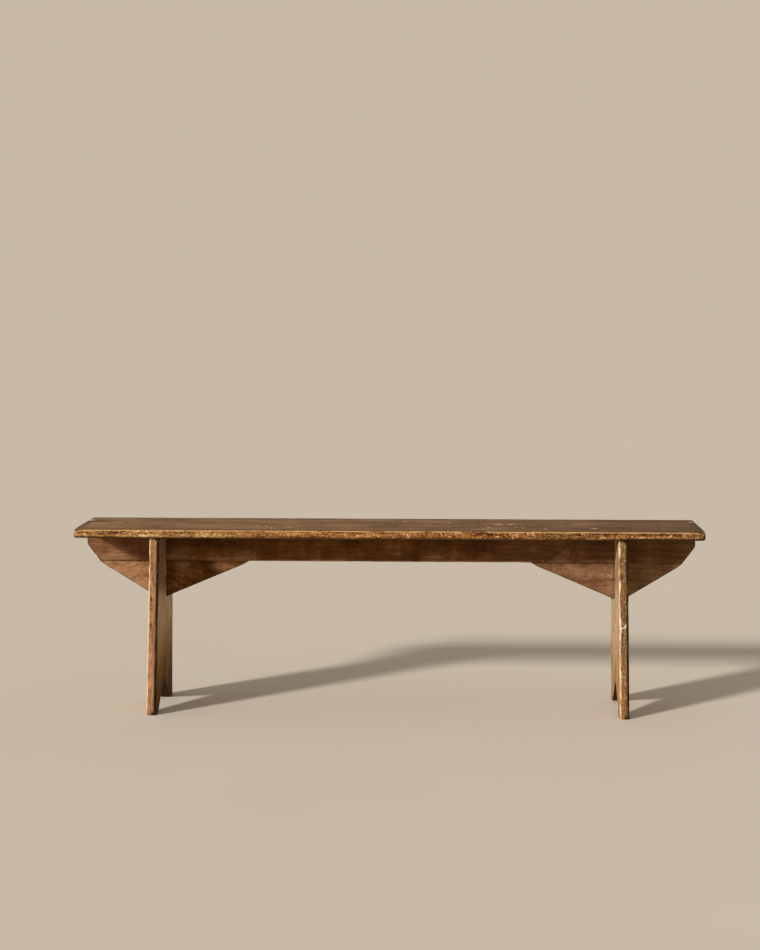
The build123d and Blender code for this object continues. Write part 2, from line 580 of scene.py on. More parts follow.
def tip_and_leg(low, high, leg_side):
    """Where along the bench a bracket has its tip and its leg; leg_side is 1 for a leg on its right."""
    return (low.x, high.x) if leg_side > 0 else (high.x, low.x)


def make_bracket(node, leg_side, shift):
    """A triangular bracket, sawn and worn."""
    low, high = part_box(node)
    tip_x, leg_x = tip_and_leg(low, high, leg_side)
    outwards = 1 if leg_x > 0 else -1
    inner = outwards == leg_side
    lean = (high.z - low.z) * tan(leg_splay)
    bracket = start_block("worn_" + node, low, high)
    bpy.ops.object.mode_set(mode="EDIT")
    move_corners(
        bracket,
        lambda c: abs(c.x - tip_x) < hair and c.z < low.z + hair,
        (0, 0, high.z - bracket_tip - low.z),
    )
    move_corners(
        bracket,
        lambda c: abs(c.x - leg_x) < hair and (c.z > low.z + hair) == inner,
        (-outwards * lean if inner else outwards * lean, 0, 0),
    )
    arrises = arris_lines(bracket)
    round_edges(bracket, lambda a, b, e: is_sharp(e), small_round, segments=2)
    rule_cuts(low, high, (0.004, 0.006, 0.004))
    bpy.ops.object.mode_set(mode="OBJECT")
    level = [line for line in arrises if np.ptp(line[:, 0]) > 0.02]
    upright = [line for line in arrises if np.ptp(line[:, 2]) > 0.02]
    at_rail = [line for line in level if line[:, 2].min() > high.z - 1e-4]
    at_leg = [line for line in upright if np.abs(line[:, 0] - leg_x).max() < 0.003]
    wear(
        bracket,
        arrises,
        reach=0.004,
        rub=0.0003,
        chip=0.0008,
        lumps=(0.020, 0.010, 0.012),
        shift=shift,
        through=1,
        joints=at_rail + at_leg,
    )
    points = read_points(bracket, "co")
    below_rail = step_up(high.z - points[:, 2], 0.0005, bracket_tip)
    points[:, 2] += tip_wear_lift * bell(points[:, 0] - tip_x, tip_wear_reach) * below_rail
    write_points(bracket, points)
    finish_shape(bracket)
    return bracket


leg_sides = {"left_outer_bracket": 1, "left_inner_bracket": -1}
leg_sides |= {"right_inner_bracket": 1, "right_outer_bracket": -1}
noise_shifts = (31.0, 37.0, 41.0, 43.0)
brackets = {}
for (node, leg_side), shift in zip(leg_sides.items(), noise_shifts):
    brackets[node] = make_bracket(node, leg_side, shift)

# %% [markdown]
# Cut nails hold the boards together. Such a nail was sheared from a strip of iron, so its shank is as
# thick at the point as under the head and tapers only in its width, and its head is a small rough
# rectangle. One nail is modelled: a block for the head, whose lower face is inset to the shank and
# extruded down to the point.

# %% One cut nail
nail_head = Vector((0.0070, 0.0046, 0.0016))
nail_shank_width = 0.0044
nail_shank_thickness = 0.0026
nail_point_width = 0.0018
nail_head_round = 0.0005


def make_nail(length):
    """One cut nail, the top of its head at the origin and its point straight below."""
    head_low = Vector((-nail_head.x / 2, -nail_head.y / 2, -nail_head.z))
    head_high = Vector((nail_head.x / 2, nail_head.y / 2, 0))
    nail = start_block("cut_nail", head_low, head_high)
    bpy.ops.object.mode_set(mode="EDIT")
    choose_corners(nail, lambda c: c.z < -nail_head.z / 2)
    rim = (nail_head.y - nail_shank_thickness) / 2
    bpy.ops.mesh.select_mode(type="FACE")
    bpy.ops.mesh.inset(thickness=rim)
    bpy.ops.transform.resize(value=(nail_shank_width / (nail_head.x - 2 * rim), 1, 1))
    bpy.ops.mesh.extrude_region_move(TRANSFORM_OT_translate={"value": (0, 0, nail_head.z - length)})
    bpy.ops.transform.resize(value=(nail_point_width / nail_shank_width, 1, 1))
    round_edges(
        nail,
        lambda a, b, e: min(a.z, b.z) > head_low.z - hair and max(abs(a.x), abs(b.x)) > head_high.x - hair,
        nail_head_round,
        segments=2,
    )
    rule_cuts(head_low, head_high, (0.0012, 0.0012, 1.0))
    bpy.ops.object.mode_set(mode="OBJECT")
    return nail


print("nail head", [round(v * 1000, 1) for v in nail_head], "mm")

# %% [markdown]
# Three nails go through the seat into each leg and seven into the rail, and two through each
# bracket's sloping edge, square to it. Each is a copy of the one nail with its own mesh, all copies of
# one length are joined into one piece, and a little noise on all of them together gives each head its
# own hammer marks.

# %% Nails driven in
nail_dent = 0.00025
seat_nail_length = 0.064
bracket_nail_length = 0.050
bracket_nail_depths = (0.014, 0.036)
leg_nail_x = 0.566
leg_nail_ys = (-0.083, -0.0371, 0.083)
rail_nail_xs = (-0.658, -0.440, -0.220, 0.0, 0.220, 0.440, 0.658)


def drive_nails(name, length, places):
    """Copies of one nail, each with its head at a place and turned about Y, joined into one piece."""
    pattern = make_nail(length)
    copies = []
    for place, turn in places:
        copy = pattern.copy()
        copy.data = pattern.data.copy()
        copy.location = place
        copy.rotation_euler = (0, turn, 0)
        bpy.context.scene.collection.objects.link(copy)
        copies.append(copy)
    bpy.data.objects.remove(pattern)
    take_up(copies[0])
    for copy in copies:
        copy.select_set(True)
    bpy.ops.object.transform_apply(location=True, rotation=True, scale=True)
    bpy.ops.object.join()
    nails = copies[0]
    nails.name = name
    nails.data.name = name
    points = read_points(nails, "co")
    normals = read_points(nails, "normal")
    dents = 0.5 + 0.5 * slow_noise(points, (0.003, 0.003, 0.003), 5.0)
    write_points(nails, points - normals * nail_dent * dents[:, None])
    finish_shape(nails)
    return nails


seat_nail_spots = [(side * leg_nail_x, y) for side in (-1, 1) for y in leg_nail_ys]
seat_nail_spots += [(x, rail_y) for x in rail_nail_xs]
seat_nail_places = [(Vector((x, y, seat_high.z)), 0) for x, y in seat_nail_spots]
seat_nails = drive_nails("iron_seat_nails", seat_nail_length, seat_nail_places)

bracket_nail_places = []
for node, leg_side in leg_sides.items():
    low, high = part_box(node)
    tip_x, foot_x = tip_and_leg(low, high, leg_side)
    slope = atan2(high.z - bracket_tip - low.z, foot_x - tip_x)
    for depth in bracket_nail_depths:
        x = tip_x + (depth - bracket_tip) / tan(slope)
        turn = pi + slope if foot_x > tip_x else slope
        bracket_nail_places.append((Vector((x, rail_y, high.z - depth)), turn))
bracket_nails = drive_nails("iron_bracket_nails", bracket_nail_length, bracket_nail_places)

# %% [markdown]
# A hammer drives a nail's head a little below the wood, so the wood dips round it. The distance to
# the nearest nail is kept on the boards, because iron stains the wood round it black.

# %% Wood round the nails
dip_depth = 0.0007
dip_reach = 0.006
nailed_boards = [(seat, seat_nail_places)]
nailed_boards += [(bracket, bracket_nail_places) for bracket in brackets.values()]
for board, places in nailed_boards:
    points = read_points(board, "co")
    normals = read_points(board, "normal")
    away = np.min([np.linalg.norm(points - np.array(place), axis=1) for place, turn in places], axis=0)
    keep_attribute(board, "iron", away)
    write_points(board, points - normals * (dip_depth * bell(away, dip_reach))[:, None])
print(len(seat_nail_places), "seat nails and", len(bracket_nail_places), "bracket nails")

# %% [markdown]
# A material is a small graph of nodes. This class keeps the graph of one finish and has a short word
# for each node that wood needs: sums, products, fades, cloudy noise, colour ramps and blends. Every
# pattern reads Object coordinates, so it stays fixed in the wood, and each board gets them in its own
# order: along the grain, across it, and through its thickness.


# %% Tools for finishes
def add_node(tree, kind, inputs, output=0, **settings):
    """A shader node whose inputs are numbers, colours or other nodes' outputs."""
    made = tree.nodes.new("ShaderNode" + kind)
    for name, value in settings.items():
        setattr(made, name, value)
    for name, value in inputs.items():
        socket = made.inputs[name]
        if isinstance(value, bpy.types.NodeSocket):
            tree.links.new(value, socket)
        elif socket.type == "RGBA":
            socket.default_value = (*value, 1)
        else:
            socket.default_value = value
    return made.outputs if output is None else made.outputs[output]


class Finish:
    """A material laid on in coats: each method adds nodes and hands back an output."""

    def __init__(self, name, axes="XYZ", shift=(0, 0, 0), tilt=0.0):
        """Reads a point's place, and turns it to along, across and through the board."""
        self.material = bpy.data.materials.new(name)
        self.material.use_nodes = True
        self.tree = self.material.node_tree
        self.tree.nodes.clear()
        parts = self.node("SeparateXYZ", {0: self.node("TexCoord", {}, "Object")}, None)
        self.x, self.y, self.z = parts
        own = self.node("CombineXYZ", {i: parts["XYZ".index(axis)] for i, axis in enumerate(axes)})
        self.place = self.node("Mapping", {"Vector": own, "Location": shift, "Rotation": (0, 0, tilt)})

    def node(self, kind, inputs, output=0, **settings):
        """One node of this finish."""
        return add_node(self.tree, kind, inputs, output, **settings)

    def kept(self, name):
        """A number that was stored on the mesh."""
        return self.node("Attribute", {}, "Fac", attribute_name=name)

    def calc(self, operation, *values):
        """One reckoning of numbers."""
        return self.node("Math", dict(enumerate(values)), operation=operation)

    def times(self, *factors):
        """The product of all the factors."""
        return reduce(lambda done, factor: self.calc("MULTIPLY", done, factor), factors)

    def plus(self, *terms):
        """The sum of all the terms."""
        return reduce(lambda done, term: self.calc("ADD", done, term), terms)

    def minus(self, value, other):
        """What is left of a value."""
        return self.calc("SUBTRACT", value, other)

    def scaled(self, value, factor, base):
        """A value times a factor, on top of a base."""
        return self.calc("MULTIPLY_ADD", value, factor, base)

    def swing(self, value, weight):
        """A noise turned into a swing about zero."""
        return self.scaled(value, weight, -0.5 * weight)

    def fade(self, value, start, end, low=0.0, high=1.0):
        """Low up to the start, high from the end, and smooth between them."""
        inputs = {"Value": value, 1: start, 2: end, 3: low, 4: high}
        return self.node("MapRange", inputs, interpolation_type="SMOOTHSTEP")

    def fall(self, value, start, end, high=1.0):
        """High up to the start, nothing from the end, and smooth between them."""
        return self.fade(value, start, end, high, 0.0)

    def between(self, value, rise, fall):
        """Nothing outside a rise and a fall, which each have a start and an end."""
        return self.times(self.fade(value, *rise), self.fall(value, *fall))

    def lumps(self, size, detail=3.0, rough=0.5):
        """Cloudy noise, its lumps as long as the sizes along, across and through the board."""
        scaled = self.node("Mapping", {"Vector": self.place, "Scale": [1 / s for s in size]})
        inputs = {"Vector": scaled, "Scale": 1.0, "Detail": detail, "Roughness": rough}
        return self.node("TexNoise", inputs)

    def ramp(self, value, stops):
        """A colour for each value, from a list of positions and colours."""
        made = self.tree.nodes.new("ShaderNodeValToRGB")
        self.tree.links.new(value, made.inputs[0])
        elements = made.color_ramp.elements
        elements.remove(elements[1])
        elements[0].position = stops[0][0]
        elements[0].color = (*stops[0][1], 1)
        for position, colour in stops[1:]:
            elements.new(position).color = (*colour, 1)
        return made.outputs[0]

    def blend(self, share, under, over, way="MIX"):
        """One colour over another, by a share."""
        inputs = {0: share, 6: under, 7: over}
        return self.node("Mix", inputs, 2, data_type="RGBA", blend_type=way)

    def lay(self, colour, roughness, height, depth, sheen=0.2, metal=0.0):
        """The finished surface: colour, sheen and relief."""
        relief = self.node("Bump", {"Strength": 1.0, "Distance": depth, "Height": height})
        inputs = {"Base Color": colour, "Roughness": roughness, "Normal": relief}
        shader = self.node("BsdfPrincipled", {**inputs, "Specular IOR Level": sheen, "Metallic": metal})
        self.node("OutputMaterial", {"Surface": shader}, None)
        return self.material


print("a finish has words for", len([word for word in vars(Finish) if word[0] != "_"]), "kinds of coat")

# %% [markdown]
# Wood has three patterns on top of each other. Growth rings are shells round the heart of the tree,
# so a flat board shows them as long arches: the distance from the heart line, bent by slow noise,
# is cut into equal rings that darken and then stop short. Fibres are very long thin noise. Pores and
# drying checks are short dark dashes. A wood finish grows these first, and the coats follow them.

# %% Grain of a sawn board
fibre_size = (0.11, 0.0014, 0.0014)
pore_size = (0.022, 0.0011, 0.0011)


class WoodFinish(Finish):
    """A finish on a sawn board whose heart line is where across and through are zero."""

    def __init__(self, name, axes, shift, ring_gap, tilt=0.0):
        """Grows the rings, fibres and pores."""
        super().__init__(name, axes, shift, tilt)
        wander = self.lumps((0.55, 0.12, 0.12), detail=2.0)
        bent = self.times(self.minus(wander, 0.5), 0.09)
        parts = self.node("SeparateXYZ", {0: self.place}, None)
        across = self.plus(parts[1], bent)
        through = self.plus(parts[2], self.times(bent, 0.6))
        heart = self.node("CombineXYZ", {1: across, 2: through})
        radius = self.node("VectorMath", {0: heart}, "Value", operation="LENGTH")
        phase = self.calc("FRACT", self.calc("DIVIDE", radius, ring_gap))
        self.rings = self.between(phase, (0.1, 0.88), (0.88, 1.0))
        self.fibres = self.lumps(fibre_size, detail=4.0, rough=0.6)
        self.pores = self.fade(self.lumps(pore_size, detail=2.0), 0.60, 0.70)

    def tone(self, streaks, patches, weights):
        """How pale the wood is, 0.5 on average, from the weights of streaks, patches, fibres and rings."""
        streak, patch, fibre, ring = weights
        tone = self.scaled(streaks, streak, 0.5 * (1 - streak - patch - fibre + ring))
        tone = self.scaled(patches, patch, tone)
        tone = self.scaled(self.fibres, fibre, tone)
        return self.scaled(self.rings, -ring, tone)

    def relief(self, fibre, pore, worn=None):
        """The surface's height: raised fibres, sunken pores and, on an edge, its worn lumps."""
        height = self.times(self.fibres, fibre)
        if worn is not None:
            height = self.scaled(worn, self.kept("edge"), height)
        return self.minus(height, self.times(self.pores, pore))

    def scored_line(self, start, end, width):
        """A mask of one straight mark between two points of a front face, soft along its sides."""
        run = Vector(end) - Vector(start)
        way = run.normalized()
        beside = self.minus(self.x, start[0])
        above = self.minus(self.z, start[1])
        along = self.scaled(beside, way.x, self.times(above, way.y))
        off = self.calc("ABSOLUTE", self.scaled(beside, -way.y, self.times(above, way.x)))
        ends = max(0.006, width)
        return self.times(
            self.fall(off, width * 0.3, width),
            self.fade(along, 0.0, ends),
            self.fall(along, run.length - ends, run.length),
        )


print("fibres", fibre_size[1] * 1000, "mm and pores", pore_size[1] * 1000, "mm wide")

# %% [markdown]
# The top of the seat is a dark grey brown with soft lengthwise streaks, paler towards the left and
# darkest at the right end. The tone is one number, made of the grain and two noises, and a ramp turns
# it into colours, so that all the marks of the wood change together. On top of it come pores, flecks
# and small knocks, the dirt that lies behind the arris, and the dark wood round the split.

# %% Seat finish: the dark top
seat_dark = (0.098, 0.050, 0.021)
seat_brown = (0.225, 0.122, 0.054)
seat_pale = (0.36, 0.212, 0.104)
pit_brown = (0.050, 0.018, 0.005)
gold = (0.53, 0.290, 0.104)


def seat_tone(coat, streaks, patches):
    """How pale the seat's wood is, more even and darker towards the right end."""
    tone = coat.plus(
        coat.tone(streaks, patches, (0.55, 0.60, 0.20, 0.06)),
        coat.fade(coat.x, -0.70, -0.10, 0.070, 0.016),
        coat.fade(coat.x, 0.10, 0.60, 0.0, -0.032),
        coat.fade(coat.x, 0.40, 0.66, 0.0, -0.095),
    )
    return coat.scaled(coat.minus(0.42, tone), coat.fade(coat.x, 0.45, 0.65, 0.0, 0.6), tone)


def seat_top(coat, tone, patches):
    """The colour of the seat's top."""
    top = coat.ramp(tone, [(0.34, seat_dark), (0.50, seat_brown), (0.66, seat_pale)])
    top = coat.blend(coat.times(coat.pores, 0.5), top, seat_dark)
    flecks = coat.fade(coat.lumps((0.012, 0.012, 0.006), detail=3.0, rough=0.6), 0.60, 0.68)
    top = coat.blend(coat.times(flecks, 0.55), top, seat_dark)
    knocked = coat.fade(coat.lumps((0.20, 0.16, 0.16), detail=1.0), 0.44, 0.54)
    knocks = coat.fade(coat.lumps((0.020, 0.022, 0.012), detail=2.5, rough=0.6), 0.70, 0.74)
    top = coat.blend(coat.times(knocks, knocked), top, gold)
    behind_arris = coat.fall(coat.kept("arris"), 0.006, 0.030, 0.85)
    dirt = coat.times(behind_arris, coat.fade(patches, 0.35, 0.60, 0.4, 1.0))
    top = coat.blend(dirt, top, seat_dark)
    # Round the split the top is painted dark, partly a stain and partly the split's painted shade.
    top = coat.blend(coat.times(coat.kept("crack"), 0.9), top, pit_brown)
    # The last few centimetres of the top at the right end are painted darker, as painted shade of the end
    # turned from the lamp.
    return coat.blend(coat.fade(coat.x, 0.732, 0.756, 0.0, 0.7), top, seat_dark)


print("seat top from", seat_dark, "to", seat_pale)

# %% [markdown]
# All round the edge the finish is rubbed through to golden wood, with cream chips and dark pits.
# Noises of three sizes, added up, give a mottle for the ramp. Towards the ends of the bench a darker
# band runs along the edge with a paler rib below it. At the two ends the plank is cut across, so its
# rings and drying checks show instead; at the right end, turned from the lamp, they are painted nearly
# black as shade.

# %% Seat finish: the rubbed edge
edge_brown = (0.165, 0.070, 0.021)
ochre = (0.31, 0.148, 0.046)
cream = (0.82, 0.580, 0.300)
warm_tint = (0.93, 0.83, 0.76)
right_end_shade = (0.034, 0.015, 0.006)


def seat_mottle(coat, coarse, fine, tiny):
    """How far the seat's edge is rubbed, from dark pits to cream chips."""
    mottle = coat.scaled(coarse, 0.34, coat.times(fine, 0.34))
    mottle = coat.scaled(tiny, 0.60, mottle)
    towards_ends = coat.fade(coat.calc("ABSOLUTE", coat.x), 0.30, 0.48)
    top = seat_high.z
    band = coat.between(coat.z, (top - 0.0125, top - 0.0095), (top - 0.0062, top - 0.0040))
    rib = coat.between(coat.z, (top - 0.0190, top - 0.0165), (top - 0.0140, top - 0.0120))
    mottle = coat.plus(
        mottle,
        coat.fade(coat.x, -0.45, 0.05, -0.118, -0.172),
        coat.fade(coat.x, 0.20, 0.50, 0.0, 0.010),
        coat.times(band, towards_ends, coat.fade(coat.x, -0.1, 0.1, -0.052, -0.034)),
    )
    return coat.scaled(coat.times(rib, towards_ends), 0.045, mottle)


def seat_edge(coat, mottle, coarse):
    """The colour of the seat's long edges."""
    stops = [(0.37, pit_brown), (0.44, edge_brown), (0.51, ochre), (0.59, gold), (0.67, cream)]
    rubbed = coat.ramp(mottle, stops)
    dots = coat.lumps((0.0065, 0.0055, 0.0055), detail=1.0)
    dots = coat.plus(dots, coat.fade(coat.x, 0.15, 0.40, 0.0, 0.035))
    dots = coat.times(coat.fade(dots, 0.66, 0.71), coat.fade(coarse, 0.40, 0.54))
    rubbed = coat.blend(dots, rubbed, cream)
    central = coat.between(coat.x, (-0.45, -0.15), (0.25, 0.45))
    return coat.blend(central, rubbed, warm_tint, "MULTIPLY")


def seat_ends(coat, rubbed, tiny):
    """End grain over the rubbed edge where the plank is cut across, painted nearly black at the right end as
    shade.
    """
    end_tone = coat.scaled(coat.rings, 0.50, coat.times(tiny, 0.50))
    end_grain = coat.ramp(end_tone, [(0.14, ochre), (0.34, edge_brown), (0.62, pit_brown)])
    checks = coat.fade(coat.lumps((0.05, 0.0020, 0.020), detail=2.0), 0.60, 0.68)
    end_grain = coat.blend(coat.times(checks, 0.8), end_grain, pit_brown)
    # At the right end the end grain is painted nearly black, as painted shade.
    end_grain = coat.blend(coat.fade(coat.x, -0.1, 0.1, 0.0, 0.75), end_grain, right_end_shade)
    share = coat.times(coat.kept("end"), coat.fade(coat.x, -0.1, 0.1, 0.6, 1.0))
    return coat.blend(share, rubbed, end_grain)


print("seat edge from", pit_brown, "to", cream)

# %% [markdown]
# A thin bright line follows the top arris, where hands and legs rub most, and the dings, the chip and
# the worn corners show fresh wood, ragged at its rim because noise is added to the kept number. The
# lower edge is darkened by grime and by painted shade, with a taller painted shadow under the
# overhanging ends, the underside was never finished and only gathers dirt, and the iron of the nails
# has stained the wood.

# %% Seat finish: wear, dirt and painted shade
bright_gold = (0.64, 0.380, 0.155)
fresh_cream = (0.93, 0.715, 0.450)
dry_wood = (0.34, 0.225, 0.130)
iron_stain = (0.022, 0.014, 0.010)


def seat_wear(coat, colour, fine):
    """The bright line on the top arris, and fresh wood in the knocked places."""
    line = coat.times(
        coat.fall(coat.kept("arris"), 0.0028, 0.0052, 0.9),
        coat.fade(coat.lumps((0.040, 0.010, 0.010), detail=4.0), 0.33, 0.50),
        coat.fade(coat.z, seat_low.z + 0.012, seat_high.z - 0.002),
        coat.fade(coat.x, -0.45, -0.05, 0.70, 1.0),
        coat.kept("edge"),
    )
    colour = coat.blend(line, colour, bright_gold)
    colour = coat.blend(coat.times(coat.kept("chip"), 0.35), colour, gold)
    fresh = coat.kept("fresh")
    ragged = coat.scaled(fine, 1.5, coat.minus(fresh, 0.75))
    fresh_wood = coat.blend(coat.fade(fresh, 0.45, 0.85), bright_gold, fresh_cream)
    return coat.blend(coat.fade(ragged, 0.34, 0.52, 0.0, 0.95), colour, fresh_wood)


def seat_dirt_and_shade(coat, colour, tone, fine):
    """Grime and painted shade along the lower edge, a painted shadow under the ends, the dry underside, and
    stains round the nails.
    """
    foot = seat_low.z
    # The lowest centimetre of the edge is darkened: grime, and painted shade on the rounding that faces
    # down.
    grime = coat.times(
        coat.fall(coat.z, foot + 0.001, foot + 0.0100, 0.85),
        coat.fade(fine, 0.35, 0.62, 1.0, 0.5),
        coat.fade(coat.calc("ABSOLUTE", coat.x), 0.52, 0.72, 1.0, 0.35),
    )
    colour = coat.blend(grime, colour, pit_brown)
    # A thin band along the bottom is painted nearly black as painted shadow, taller under the overhanging
    # ends.
    overhang = coat.plus(coat.fall(coat.x, -0.68, -0.52, 0.003), coat.fade(coat.x, 0.50, 0.64, 0.0, 0.005))
    overhang_shadow = coat.fall(coat.minus(coat.z, overhang), foot + 0.0005, foot + 0.0030, 0.9)
    colour = coat.blend(overhang_shadow, colour, pit_brown)
    under = coat.blend(coat.fade(tone, 0.40, 0.62), edge_brown, dry_wood)
    colour = coat.blend(coat.fall(coat.z, foot + 0.0004, foot + 0.0012), colour, under)
    stain = coat.fall(coat.kept("iron"), 0.004, 0.012, 0.85)
    stain = coat.times(stain, coat.fade(fine, 0.3, 0.6, 1.0, 0.5))
    return coat.blend(stain, colour, iron_stain)


print("fresh wood", fresh_cream, "and grime", pit_brown)

# %% [markdown]
# Put together, the edge attribute chooses between the dark top and the rubbed edge, and wear, dirt and
# painted shade go over both. The mottle is also the edge's relief, so that pits are low and chips catch the
# light.

# %% Seat finish: put together
coat = WoodFinish("old_seat_finish", "XYZ", shift=(0.0, 0.018, -0.385), ring_gap=0.0062)
streaks = coat.lumps((0.30, 0.022, 0.02), detail=4.0, rough=0.6)
patches = coat.lumps((0.14, 0.070, 0.05), detail=4.0)
coarse = coat.lumps((0.090, 0.025, 0.016), detail=3.0, rough=0.6)
fine = coat.lumps((0.0170, 0.0050, 0.0040), detail=4.0, rough=0.7)
tiny = coat.lumps((0.0062, 0.0045, 0.0036), detail=3.0, rough=0.65)
tone = seat_tone(coat, streaks, patches)
mottle = seat_mottle(coat, coarse, fine, tiny)
rubbed = seat_ends(coat, seat_edge(coat, mottle, coarse), tiny)
colour = coat.blend(coat.kept("edge"), seat_top(coat, tone, patches), rubbed)
colour = seat_dirt_and_shade(coat, seat_wear(coat, colour, fine), tone, fine)
roughness = coat.scaled(streaks, 0.35, 0.42)
seat.data.materials.append(coat.lay(colour, roughness, coat.relief(0.35, 0.25, mottle), 0.0016, sheen=0.09))
print("seat finish", len(coat.tree.nodes), "nodes")

# %% [markdown]
# The legs were finished less and touched more. Their broad faces are an olive tan with the grain
# running up the board, paler than the seat and dusty at knee height. The faces that look towards the
# middle of the bench get painted shade: a darker tone for the whole face, less dark at knee height,
# and a warm dark tint for the part near the floor.

# %% Leg finish: the broad faces
leg_dark = (0.110, 0.058, 0.016)
leg_tan = (0.36, 0.208, 0.098)
leg_pale = (0.64, 0.420, 0.220)
dust = (0.60, 0.455, 0.30)


def leg_faces(coat, streaks, patches, inner_shade_and_knee, low_shade_tint):
    """The colour of a leg's broad faces."""
    inner = coat.kept("inner")
    uneven = coat.scaled(patches, 0.05, coat.z)
    knee_high = coat.times(coat.fade(coat.z, 0.03, 0.23), coat.fade(uneven, 0.305, 0.345, 1.0, 0.30))
    # On the inner face the tone is painted darker as shade, less so at knee height.
    painted_face_shade, knee_lift = inner_shade_and_knee
    painted_shade_and_knee = coat.times(coat.scaled(knee_high, knee_lift, painted_face_shade), inner)
    tone = coat.plus(painted_shade_and_knee, coat.tone(streaks, patches, (0.45, 0.45, 0.25, 0.07)))
    broad = coat.ramp(tone, [(0.34, leg_dark), (0.50, leg_tan), (0.66, leg_pale)])
    broad = coat.blend(coat.times(coat.pores, 0.4), broad, leg_dark)
    speckled = coat.lumps((0.040, 0.010, 0.010), detail=5.0, rough=0.62)
    dusty = coat.times(coat.fade(speckled, 0.42, 0.58, 0.1, 0.9), knee_high)
    dusty = coat.times(dusty, coat.fade(inner, 0.0, 1.0, 0.4, 1.0))
    broad = coat.blend(dusty, broad, dust)
    scuffs = coat.times(coat.fall(speckled, 0.32, 0.45, 0.6), coat.fade(patches, 0.4, 0.6))
    broad = coat.blend(scuffs, broad, leg_dark)
    # Near the floor the inner face gets a warm dark tint, which is painted shade.
    low_down = coat.times(coat.fall(coat.z, 0.10, 0.26), inner)
    return coat.blend(low_down, broad, low_shade_tint, "MULTIPLY")


print("leg faces from", leg_dark, "to", leg_pale)

# %% [markdown]
# The narrow edges are brown with dark pits, reddish and calm on the left leg, olive with golden
# specks on the right one. The arris towards the lamp is rubbed and painted bright as a highlight, in a
# ragged line, and the others are dark with old finish and painted shade, except round the notch.

# %% Leg finish: the narrow edges
leg_edge_dark = (0.055, 0.024, 0.009)
leg_edge_brown = (0.315, 0.152, 0.070)
leg_edge_pale = (0.54, 0.300, 0.145)
olive_dark = (0.078, 0.042, 0.016)
olive_brown = (0.198, 0.096, 0.035)
olive_pale = (0.36, 0.195, 0.081)
golden_speck = (0.74, 0.50, 0.27)
rub_highlight_pale = (0.85, 0.63, 0.41)
old_finish_and_shade = (0.030, 0.013, 0.005)


def leg_edges(coat, mottle, patches, colours, speckle):
    """The colour of a leg's narrow edges, with more specks and fewer pits for more speckle."""
    spots = coat.lumps((0.0060, 0.0038, 0.0038), detail=3.0, rough=0.6)
    tone = coat.tone(mottle, patches, (0.45, 0.35, 0.20, 0.05))
    tone = coat.plus(coat.swing(spots, speckle), tone)
    narrow = coat.ramp(tone, list(zip((0.33, 0.47, 0.64), colours)))
    narrow = coat.blend(coat.fade(spots, 0.62, 0.68, 0.0, 0.7 * speckle), narrow, golden_speck)
    pits = coat.fade(coat.lumps((0.010, 0.0045, 0.0045), detail=2.0), 0.63, 0.69)
    pits = coat.times(pits, coat.fade(patches, 0.46, 0.58), 0.8 - 0.6 * speckle)
    return coat.blend(pits, narrow, leg_edge_dark)


def leg_arrises(coat, colour, rub):
    """The arris towards the lamp painted bright, part wear and part painted highlight, and the other arrises
    painted dark, part old finish and part painted shade; rub has the bright one's start, end and raggedness.
    """
    rub_start, rub_end, raggedness = rub
    waves = coat.lumps((0.030, 0.012, 0.012), detail=4.0)
    lit = coat.kept("rubbed_and_lit")
    # The arris towards the lamp is painted bright: wear and a painted highlight.
    rubbed_and_lit = coat.fall(coat.plus(lit, coat.swing(waves, raggedness)), rub_start, rub_end, 0.95)
    # The other arrises are painted dark: old finish and painted shade.
    shade_and_old_finish = coat.minus(coat.fall(coat.kept("arris"), 0.0045, 0.0080, 0.95), coat.fall(lit, 0.010, 0.014))
    from_middle = coat.calc("ABSOLUTE", coat.y)
    by_notch = coat.times(coat.fall(from_middle, 0.094, 0.104), coat.fall(coat.z, 0.075, 0.085))
    shade_and_old_finish = coat.times(shade_and_old_finish, coat.fade(waves, 0.3, 0.5, 0.7, 1.0), coat.minus(1.0, by_notch))
    colour = coat.blend(shade_and_old_finish, colour, old_finish_and_shade)
    colour = coat.blend(rubbed_and_lit, colour, rub_highlight_pale)
    return coat.blend(coat.times(coat.kept("chip"), 0.35), colour, leg_edge_pale)


print("leg edges from", leg_edge_dark, "to", rub_highlight_pale)

# %% [markdown]
# The notch is painted near-black as shade, dirt lies in the joint with the rail, and grime climbs a few
# centimetres up from the floor. A few marks sit where they are on the real bench, on the front edges: a
# row of dark pits on the left leg and a small splash of white on the right one. Each is a short line from
# one place to another, with its width, its strength and its colour.

# %% Leg finish: dirt, painted shade and both legs
notch_shade = (0.020, 0.009, 0.003)
lime_white = (0.86, 0.84, 0.80)
left_pits = [
    ((-0.5752, 0.292), (-0.5740, 0.277), 0.0036, 0.95, leg_edge_dark),
    ((-0.5745, 0.276), (-0.5752, 0.267), 0.0030, 0.90, leg_edge_dark),
    ((-0.5756, 0.266), (-0.5748, 0.256), 0.0032, 0.85, leg_edge_dark),
    ((-0.5765, 0.247), (-0.5760, 0.238), 0.0026, 0.70, leg_edge_dark),
    ((-0.5760, 0.229), (-0.5768, 0.213), 0.0032, 0.90, leg_edge_dark),
]
right_splash = [
    ((0.560, 0.221), (0.571, 0.223), 0.0028, 1.0, lime_white),
    ((0.5715, 0.219), (0.5735, 0.233), 0.0026, 1.0, lime_white),
]


